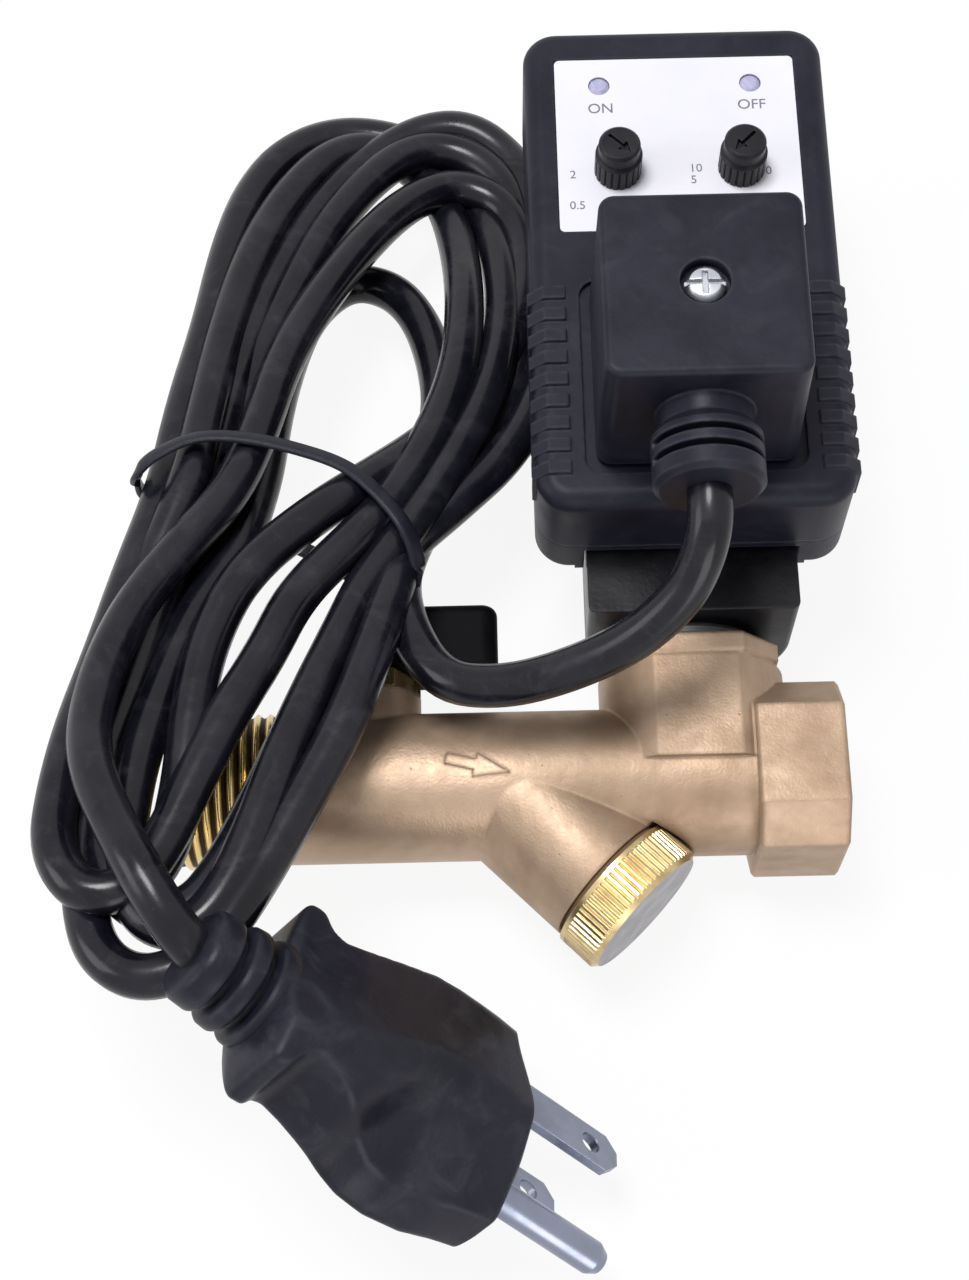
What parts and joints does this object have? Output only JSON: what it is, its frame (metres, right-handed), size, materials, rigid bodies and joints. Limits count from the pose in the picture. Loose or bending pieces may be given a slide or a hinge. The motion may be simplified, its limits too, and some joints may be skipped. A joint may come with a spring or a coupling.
{
  "type": "automatic drain valve",
  "caption": "Brass Y-strainer drain valve with a quarter-turn ball valve, a plug-on dial timer over the solenoid coil, and a moulded mains cord tied in a hank.",
  "frame": {"origin": "centre of the valve's own box in plan, without its cord, on the surface that it lies on", "axes": "+X along the pipe towards the outlet, +Y along the solenoid, which is up once installed, +Z out of the timer's dial"},
  "size_m": [0.1139, 0.1961, 0.0712],
  "materials": {
    "cast_brass": "satin sand-cast brass",
    "bright_brass": "bright turned brass",
    "stainless": "turned stainless steel",
    "zinc_steel": "zinc-plated steel",
    "nickel": "nickel-plated brass",
    "black_case": "satin black moulded plastic",
    "black_coil": "black moulded resin",
    "black_handle": "black moulded plastic",
    "knob_plastic": "black plastic",
    "label_film": "printed film, off-white",
    "lamp_lens": "lavender-grey lens",
    "board": "green circuit board",
    "white_seat": "white fluoropolymer",
    "seal_rubber": "black nitrile rubber",
    "gasket_rubber": "black flat rubber",
    "cord_vinyl": "glossy black vinyl",
    "plug_vinyl": "satin black vinyl",
    "screen_mesh": "woven stainless mesh"
  },
  "bodies": {
    "valve": {"valve_body": "cast_brass", "seat_upstream": "white_seat", "seat_downstream": "white_seat", "seat_retainer": "bright_brass", "stem_packing": "white_seat", "packing_nut": "bright_brass", "strainer_screen": "screen_mesh", "strainer_cap": "bright_brass", "strainer_cap_seal": "seal_rubber", "armature_tube": "stainless", "armature_tube_seal": "seal_rubber", "return_spring": "stainless", "coil": "black_coil", "coil_terminals": "nickel", "coil_seal": "gasket_rubber", "coil_washer": "zinc_steel", "coil_nut": "zinc_steel", "coil_gasket": "gasket_rubber", "timer_rear_shell": "black_case", "timer_front_cover": "black_case", "timer_label": "label_film", "timer_circuit_board": "board", "on_time_potentiometer": "black_case", "off_time_potentiometer": "black_case", "on_lamp": "lamp_lens", "off_lamp": "lamp_lens", "test_switch": "black_case", "timer_terminals": "nickel", "connector_gasket": "gasket_rubber", "connector_housing": "black_case", "connector_insert": "black_case", "connector_screw": "zinc_steel", "cord_lead": "cord_vinyl", "cord_tail": "cord_vinyl", "cord_hank": "cord_vinyl", "cord_tie": "cord_vinyl", "plug_body": "plug_vinyl", "plug_earth_pin": "nickel", "plug_prongs": "nickel"},
    "ball_valve": {"valve_handle": "black_handle", "handle_screw": "zinc_steel", "ball_stem": "bright_brass", "ball": "nickel"},
    "solenoid_plunger": {"plunger": "stainless", "plunger_seal": "seal_rubber"},
    "on_knob": {"on_time_knob": "knob_plastic"},
    "off_knob": {"off_time_knob": "knob_plastic"},
    "test_button": {"test_plunger": "knob_plastic"}
  },
  "joints": [
    {"name": "ball_valve_turn", "type": "hinge", "parent": "valve", "child": "ball_valve", "pos_m": [-0.021, -0.04172, 0.0152], "axis": [0, 1, 0], "range_deg": [0, 90]},
    {"name": "plunger_lift", "type": "slide", "parent": "valve", "child": "solenoid_plunger", "axis": [0, 1, 0], "range_m": [0, 0.0018], "stiffness_N_per_m": 250, "springref_m": -0.006, "deforming": ["return_spring"]},
    {"name": "on_time_turn", "type": "hinge", "parent": "valve", "child": "on_knob", "pos_m": [0.0169, 0.04278, 0.0462], "axis": [0, 0, 1], "range_deg": [0, 270]},
    {"name": "off_time_turn", "type": "hinge", "parent": "valve", "child": "off_knob", "pos_m": [0.0351, 0.04278, 0.0462], "axis": [0, 0, 1], "range_deg": [-270, 0]},
    {"name": "test_press", "type": "slide", "parent": "valve", "child": "test_button", "axis": [0, 0, -1], "range_m": [0, 0.0003], "stiffness_N_per_m": 800, "springref_m": -0.0005}
  ]
}
